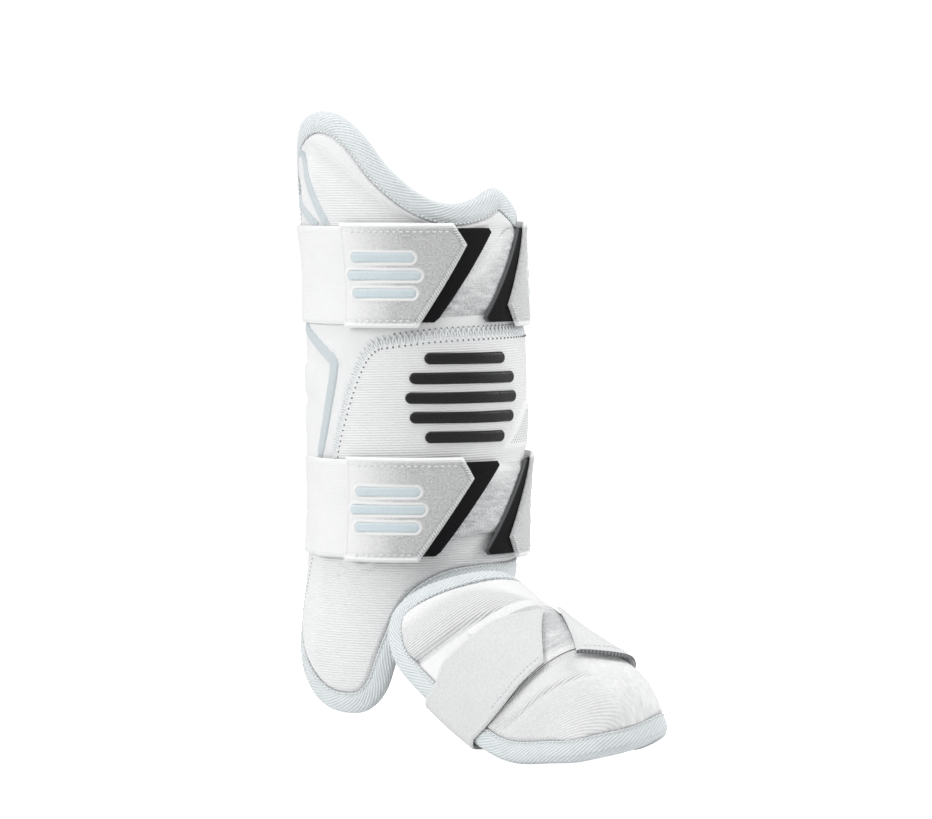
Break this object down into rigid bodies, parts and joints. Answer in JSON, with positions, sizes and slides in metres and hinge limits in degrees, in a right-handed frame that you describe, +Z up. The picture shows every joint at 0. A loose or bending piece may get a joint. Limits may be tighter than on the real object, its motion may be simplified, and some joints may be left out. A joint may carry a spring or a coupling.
{
  "type": "batter's leg guard",
  "caption": "White padded leg guard: a moulded shin shell with an ankle flap and taped edges, elastic calf straps with hook tabs, and a strapped arched foot pad.",
  "frame": {"origin": "on the leg's axis, midway between the two calf straps", "axes": "+Z up along the leg, -Y forward over the toe, -X toward the long side with the ankle flap"},
  "size_m": [0.1438, 0.3021, 0.3737],
  "materials": {
    "shell_cloth": "white cloth with fine ribs over foam",
    "panel_cloth": "white ribbed cloth",
    "edge_tape": "pale blue-grey twill tape",
    "tab_cloth": "brushed white cloth",
    "loop_cloth": "silver-grey brushed loop cloth",
    "hook_cloth": "black moulded hooks",
    "elastic": "white woven elastic",
    "dark_print": "black raised rubber",
    "pale_print": "pale raised rubber"
  },
  "bodies": {
    "root": {"shin_shell": "shell_cloth", "shin_binding": "edge_tape", "front_panel": "panel_cloth", "vent_patch": "panel_cloth", "side_stripe": "edge_tape", "upper_stripe_long": "edge_tape", "upper_stripe_short": "edge_tape", "shin_bar_1": "dark_print", "shin_bar_2": "dark_print", "shin_bar_3": "dark_print", "shin_bar_4": "dark_print", "shin_bar_5": "dark_print", "upper_loop_panel": "loop_cloth", "upper_band": "elastic", "upper_inner_tab": "tab_cloth", "upper_inner_hook": "hook_cloth", "upper_inner_bar_1": "pale_print", "upper_inner_bar_2": "pale_print", "upper_inner_bar_3": "pale_print", "upper_outer_tab": "tab_cloth", "upper_outer_hook": "hook_cloth", "upper_outer_bar_1": "pale_print", "upper_outer_bar_2": "pale_print", "upper_outer_bar_3": "pale_print", "lower_loop_panel": "loop_cloth", "lower_band": "elastic", "lower_inner_tab": "tab_cloth", "lower_inner_hook": "hook_cloth", "lower_inner_bar_1": "pale_print", "lower_inner_bar_2": "pale_print", "lower_inner_bar_3": "pale_print", "lower_outer_tab": "tab_cloth", "lower_outer_hook": "hook_cloth", "lower_outer_bar_1": "pale_print", "lower_outer_bar_2": "pale_print", "lower_outer_bar_3": "pale_print", "foot_pad": "shell_cloth", "foot_binding": "edge_tape", "foot_loop_panel": "loop_cloth", "foot_strap": "elastic", "ankle_link": "elastic"}
  },
  "joints": []
}
